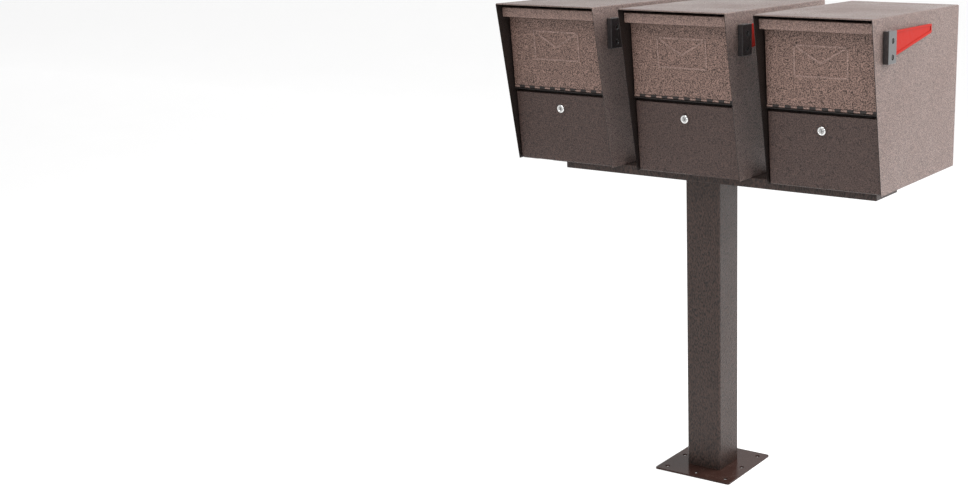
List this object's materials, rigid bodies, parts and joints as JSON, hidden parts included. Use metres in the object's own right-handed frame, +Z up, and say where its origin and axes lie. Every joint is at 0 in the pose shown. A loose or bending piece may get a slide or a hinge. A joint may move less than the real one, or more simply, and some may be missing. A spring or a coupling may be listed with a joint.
{
  "type": "cluster mailbox unit",
  "caption": "Locking steel mailboxes side by side on a spreader and a square post, each with an incoming-mail door, a keyed access door and a flag.",
  "frame": {"origin": "centre of the base plate underside, on the post axis", "axes": "+X to the right facing the doors, +Y to the back, +Z up"},
  "size_m": [1.0811, 0.5461, 1.2394],
  "materials": {
    "bronze_powder_coat": "hammered",
    "plate_gloss_coat": "gloss",
    "zinc_steel": "satin",
    "lock_chrome": "polished",
    "screw_chrome": "satin",
    "black_plastic": "gloss",
    "red_plastic": "satin"
  },
  "bodies": {
    "stand": {"base_plate": "plate_gloss_coat", "post": "bronze_powder_coat", "post_cap_plate": "bronze_powder_coat", "spreader": "bronze_powder_coat", "left_housing": "bronze_powder_coat", "left_floor_pan": "bronze_powder_coat", "left_back_panel": "bronze_powder_coat", "left_baffle": "bronze_powder_coat", "left_hinge_rail": "bronze_powder_coat", "left_upper_hinge_pin": "zinc_steel", "left_lower_hinge_pin": "zinc_steel", "left_flag_bracket": "black_plastic", "left_flag_pivot_screw": "screw_chrome", "left_flag_mount_screw": "screw_chrome", "middle_housing": "bronze_powder_coat", "middle_floor_pan": "bronze_powder_coat", "middle_back_panel": "bronze_powder_coat", "middle_baffle": "bronze_powder_coat", "middle_hinge_rail": "bronze_powder_coat", "middle_upper_hinge_pin": "zinc_steel", "middle_lower_hinge_pin": "zinc_steel", "middle_flag_bracket": "black_plastic", "middle_flag_pivot_screw": "screw_chrome", "middle_flag_mount_screw": "screw_chrome", "right_housing": "bronze_powder_coat", "right_floor_pan": "bronze_powder_coat", "right_back_panel": "bronze_powder_coat", "right_baffle": "bronze_powder_coat", "right_hinge_rail": "bronze_powder_coat", "right_upper_hinge_pin": "zinc_steel", "right_lower_hinge_pin": "zinc_steel", "right_flag_bracket": "black_plastic", "right_flag_pivot_screw": "screw_chrome", "right_flag_mount_screw": "screw_chrome"},
    "left_upper_door": {"left_incoming_door": "bronze_powder_coat", "left_mail_hopper": "bronze_powder_coat"},
    "left_lower_door": {"left_access_door": "bronze_powder_coat", "left_lock_body": "lock_chrome", "left_lock_nut": "zinc_steel"},
    "left_lock_core": {"left_lock_plug": "lock_chrome", "left_lock_cam": "zinc_steel"},
    "left_flag_arm": {"left_flag": "red_plastic"},
    "middle_upper_door": {"middle_incoming_door": "bronze_powder_coat", "middle_mail_hopper": "bronze_powder_coat"},
    "middle_lower_door": {"middle_access_door": "bronze_powder_coat", "middle_lock_body": "lock_chrome", "middle_lock_nut": "zinc_steel"},
    "middle_lock_core": {"middle_lock_plug": "lock_chrome", "middle_lock_cam": "zinc_steel"},
    "middle_flag_arm": {"middle_flag": "red_plastic"},
    "right_upper_door": {"right_incoming_door": "bronze_powder_coat", "right_mail_hopper": "bronze_powder_coat"},
    "right_lower_door": {"right_access_door": "bronze_powder_coat", "right_lock_body": "lock_chrome", "right_lock_nut": "zinc_steel"},
    "right_lock_core": {"right_lock_plug": "lock_chrome", "right_lock_cam": "zinc_steel"},
    "right_flag_arm": {"right_flag": "red_plastic"}
  },
  "joints": [
    {"name": "left_incoming_hinge", "type": "hinge", "parent": "stand", "child": "left_upper_door", "pos_m": [-0.381, -0.13388, 1.01797], "axis": [1, 0, 0], "range_deg": [0, 65]},
    {"name": "left_access_hinge", "type": "hinge", "parent": "stand", "child": "left_lower_door", "pos_m": [-0.381, -0.11174, 0.8251], "axis": [1, 0, 0], "range_deg": [0, 100]},
    {"name": "left_lock_turn", "type": "hinge", "parent": "left_lower_door", "child": "left_lock_core", "pos_m": [-0.381, -0.12821, 0.96725], "axis": [0, -0.9971, -0.0761], "range_deg": [0, 90]},
    {"name": "left_flag_turn", "type": "hinge", "parent": "stand", "child": "left_flag_arm", "pos_m": [-0.2219, -0.111, 1.1853], "axis": [1, 0, 0], "range_deg": [0, 90]},
    {"name": "middle_incoming_hinge", "type": "hinge", "parent": "stand", "child": "middle_upper_door", "pos_m": [0, -0.13388, 1.01797], "axis": [1, 0, 0], "range_deg": [0, 65]},
    {"name": "middle_access_hinge", "type": "hinge", "parent": "stand", "child": "middle_lower_door", "pos_m": [0, -0.11174, 0.8251], "axis": [1, 0, 0], "range_deg": [0, 100]},
    {"name": "middle_lock_turn", "type": "hinge", "parent": "middle_lower_door", "child": "middle_lock_core", "pos_m": [0, -0.12821, 0.96725], "axis": [0, -0.9971, -0.0761], "range_deg": [0, 90]},
    {"name": "middle_flag_turn", "type": "hinge", "parent": "stand", "child": "middle_flag_arm", "pos_m": [0.1591, -0.111, 1.1853], "axis": [1, 0, 0], "range_deg": [0, 90]},
    {"name": "right_incoming_hinge", "type": "hinge", "parent": "stand", "child": "right_upper_door", "pos_m": [0.381, -0.13388, 1.01797], "axis": [1, 0, 0], "range_deg": [0, 65]},
    {"name": "right_access_hinge", "type": "hinge", "parent": "stand", "child": "right_lower_door", "pos_m": [0.381, -0.11174, 0.8251], "axis": [1, 0, 0], "range_deg": [0, 100]},
    {"name": "right_lock_turn", "type": "hinge", "parent": "right_lower_door", "child": "right_lock_core", "pos_m": [0.381, -0.12821, 0.96725], "axis": [0, -0.9971, -0.0761], "range_deg": [0, 90]},
    {"name": "right_flag_turn", "type": "hinge", "parent": "stand", "child": "right_flag_arm", "pos_m": [0.5401, -0.111, 1.1853], "axis": [1, 0, 0], "range_deg": [0, 90]}
  ]
}
